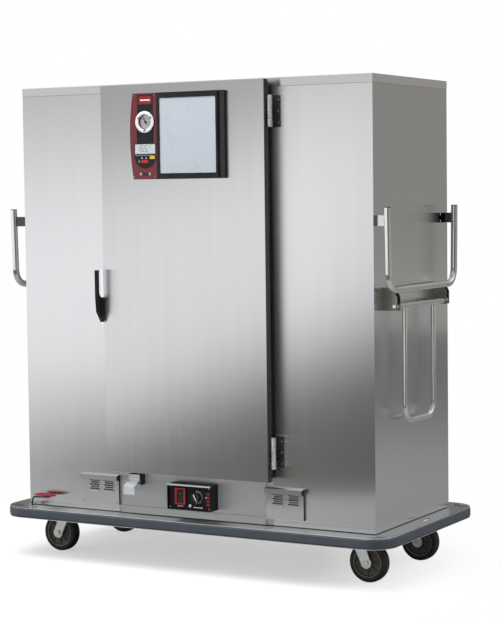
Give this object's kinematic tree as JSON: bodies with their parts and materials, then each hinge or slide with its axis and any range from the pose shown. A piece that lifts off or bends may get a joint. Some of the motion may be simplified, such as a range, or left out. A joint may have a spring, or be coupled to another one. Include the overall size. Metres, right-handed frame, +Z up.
{
  "type": "mobile heated holding cabinet",
  "caption": "Tall insulated stainless cabinet on a bumpered deck with swivel casters, one hinged door with dial and menu board, push handles and a swing-up pull loop.",
  "frame": {"origin": "on the floor, under the middle of the whole cabinet's plan", "axes": "+X along the cabinet's length to the hinge side, the door faces -Y, +Z up"},
  "size_m": [1.714, 0.8766, 1.872],
  "materials": {
    "stainless": "vertically brushed stainless",
    "stainless_inner": "satin stainless",
    "stainless_tube": "polished stainless tube",
    "deck_sheet": "pale satin sheet",
    "bright_trim": "bright extruded trim",
    "bumper_grey": "slate grey vinyl",
    "dark_steel": "dark painted steel",
    "black_steel": "black painted steel",
    "zinc": "bright zinc plate",
    "insulation": "glass fibre blanket",
    "shelf_wire": "plated wire",
    "fan_aluminium": "plain pressed aluminium",
    "heater_sheath": "heat-darkened sheath",
    "black_plastic": "moulded black",
    "switch_black": "gloss black",
    "knob_black": "moulded black with white pointer",
    "chrome": "bright chrome",
    "dark_liner": "dark door edge",
    "gasket_rubber": "black silicone",
    "hinge_steel": "dull steel",
    "lever_black": "gloss black",
    "bezel_red": "deep red moulding",
    "needle_dark": "dark painted pointer",
    "display_glass": "pale display window",
    "button_yellow": "yellow cap",
    "button_red": "red cap",
    "frame_black": "black moulding",
    "board_white": "white writing surface",
    "pad_red": "red moulded pad",
    "tread_black": "black tread on a grey hub"
  },
  "bodies": {
    "cabinet": {"deck_pan": "deck_sheet", "deck_crossmembers": "dark_steel", "bumper_channel": "bright_trim", "bumper": "bumper_grey", "caster_plates": "zinc", "body_wrap": "stainless", "top_cap": "stainless", "front_panel_left": "stainless", "front_panel_right": "stainless", "door_frame": "stainless", "apron_panel": "stainless", "inner_liner": "stainless_inner", "body_insulation": "insulation", "rack_uprights": "stainless_inner", "wire_shelves": "shelf_wire", "fan_motor": "dark_steel", "heater_element": "heater_sheath", "thermostat_probe": "bright_trim", "power_inlet": "black_plastic", "control_housing": "dark_steel", "control_face": "black_plastic", "vent_covers": "stainless", "transport_latch_bracket": "black_steel", "hinge_frame_leaves": "hinge_steel", "latch_strike": "zinc", "push_handles": "stainless_tube", "push_handle_plugs": "black_plastic", "push_handle_brackets": "zinc", "pull_handle_brackets": "stainless"},
    "door": {"door_skin": "stainless", "door_liner": "dark_liner", "door_insulation": "insulation", "door_gasket": "gasket_rubber", "hinge_door_leaves": "hinge_steel", "latch_base": "chrome", "instrument_bezel": "bezel_red", "dial_ring": "chrome", "display_window": "display_glass", "menu_board_frame": "frame_black", "menu_board": "board_white"},
    "lever": {"latch_lever": "lever_black"},
    "plunger": {"latch_plunger": "chrome"},
    "transport_catch": {"transport_latch": "chrome"},
    "knob": {"thermostat_knob": "knob_black"},
    "needle": {"dial_needle": "needle_dark"},
    "rocker": {"power_switch": "switch_black"},
    "mode_key": {"mode_button": "button_yellow"},
    "set_key": {"set_button": "button_red"},
    "pull_loop": {"pull_handle": "stainless_tube"},
    "fan_rotor": {"fan_wheel": "fan_aluminium"},
    "pedal": {"brake_pedal": "dark_steel", "brake_pad": "pad_red"},
    "fork_front_left": {"caster_fork_front_left": "zinc"},
    "wheel_front_left": {"wheel_front_left": "tread_black"},
    "fork_front_right": {"caster_fork_front_right": "zinc"},
    "wheel_front_right": {"wheel_front_right": "tread_black"},
    "fork_back_left": {"caster_fork_back_left": "zinc"},
    "wheel_back_left": {"wheel_back_left": "tread_black"},
    "fork_back_right": {"caster_fork_back_right": "zinc"},
    "wheel_back_right": {"wheel_back_right": "tread_black"}
  },
  "joints": [
    {"name": "door_hinge", "type": "hinge", "parent": "cabinet", "child": "door", "pos_m": [0.375, -0.36925, 1.102], "axis": [0, 0, 1], "range_deg": [0, 165]},
    {"name": "latch_lever_pivot", "type": "hinge", "parent": "door", "child": "lever", "pos_m": [-0.3585, -0.40425, 0.97], "axis": [1, 0, 0], "range_deg": [0, 22], "stiffness_Nm_per_rad": 0.6, "springref_deg": -8.59},
    {"name": "latch_plunger_slide", "type": "slide", "parent": "door", "child": "plunger", "axis": [0, 1, 0], "range_m": [0, 0.0049]},
    {"name": "transport_latch_pivot", "type": "hinge", "parent": "cabinet", "child": "transport_catch", "pos_m": [-0.2455, -0.34725, 0.336], "axis": [-1, 0, 0], "range_deg": [0, 48]},
    {"name": "thermostat_turn", "type": "hinge", "parent": "cabinet", "child": "knob", "pos_m": [0.05, -0.38575, 0.295], "axis": [0, 1, 0], "range_deg": [0, 270]},
    {"name": "needle_swing", "type": "hinge", "parent": "door", "child": "needle", "pos_m": [-0.146, -0.40325, 1.721], "axis": [0, 1, 0], "range_deg": [-60, 180]},
    {"name": "power_switch_rock", "type": "hinge", "parent": "cabinet", "child": "rocker", "pos_m": [-0.022, -0.38125, 0.295], "axis": [-1, 0, 0], "range_deg": [0, 16]},
    {"name": "mode_button_press", "type": "slide", "parent": "door", "child": "mode_key", "axis": [0, 1, 0], "range_m": [0, 0.002], "stiffness_N_per_m": 300, "springref_m": -0.001},
    {"name": "set_button_press", "type": "slide", "parent": "door", "child": "set_key", "axis": [0, 1, 0], "range_m": [0, 0.002], "stiffness_N_per_m": 300, "springref_m": -0.001},
    {"name": "pull_handle_swing", "type": "hinge", "parent": "cabinet", "child": "pull_loop", "pos_m": [0.815, -0.02525, 1.027], "axis": [0, -1, 0], "range_deg": [0, 90]},
    {"name": "fan_spin", "type": "hinge", "parent": "cabinet", "child": "fan_rotor", "pos_m": [0.33, 0.06275, 0.302], "axis": [0, 0, 1], "continuous": true},
    {"name": "brake_pedal_press", "type": "hinge", "parent": "cabinet", "child": "pedal", "pos_m": [-0.733, -0.36825, 0.207], "axis": [0, 1, 0], "range_deg": [0, 15], "stiffness_Nm_per_rad": 2, "springref_deg": -4.58},
    {"name": "swivel_front_left", "type": "hinge", "parent": "cabinet", "child": "fork_front_left", "pos_m": [-0.655, -0.22075, 0.176], "axis": [0, 0, 1], "continuous": true},
    {"name": "roll_front_left", "type": "hinge", "parent": "fork_front_left", "child": "wheel_front_left", "pos_m": [-0.696, -0.22075, 0.0762], "axis": [0, 1, 0], "continuous": true},
    {"name": "swivel_front_right", "type": "hinge", "parent": "cabinet", "child": "fork_front_right", "pos_m": [0.655, -0.22075, 0.176], "axis": [0, 0, 1], "continuous": true},
    {"name": "roll_front_right", "type": "hinge", "parent": "fork_front_right", "child": "wheel_front_right", "pos_m": [0.696, -0.22075, 0.0762], "axis": [0, 1, 0], "continuous": true},
    {"name": "swivel_back_left", "type": "hinge", "parent": "cabinet", "child": "fork_back_left", "pos_m": [-0.655, 0.23525, 0.176], "axis": [0, 0, 1], "continuous": true},
    {"name": "roll_back_left", "type": "hinge", "parent": "fork_back_left", "child": "wheel_back_left", "pos_m": [-0.696, 0.23525, 0.0762], "axis": [0, 1, 0], "continuous": true},
    {"name": "swivel_back_right", "type": "hinge", "parent": "cabinet", "child": "fork_back_right", "pos_m": [0.655, 0.23525, 0.176], "axis": [0, 0, 1], "continuous": true},
    {"name": "roll_back_right", "type": "hinge", "parent": "fork_back_right", "child": "wheel_back_right", "pos_m": [0.696, 0.23525, 0.0762], "axis": [0, 1, 0], "continuous": true}
  ],
  "couplings": [
    {"joint": "latch_plunger_slide", "follows": "latch_lever_pivot", "m_per_rad": 0.0125}
  ]
}
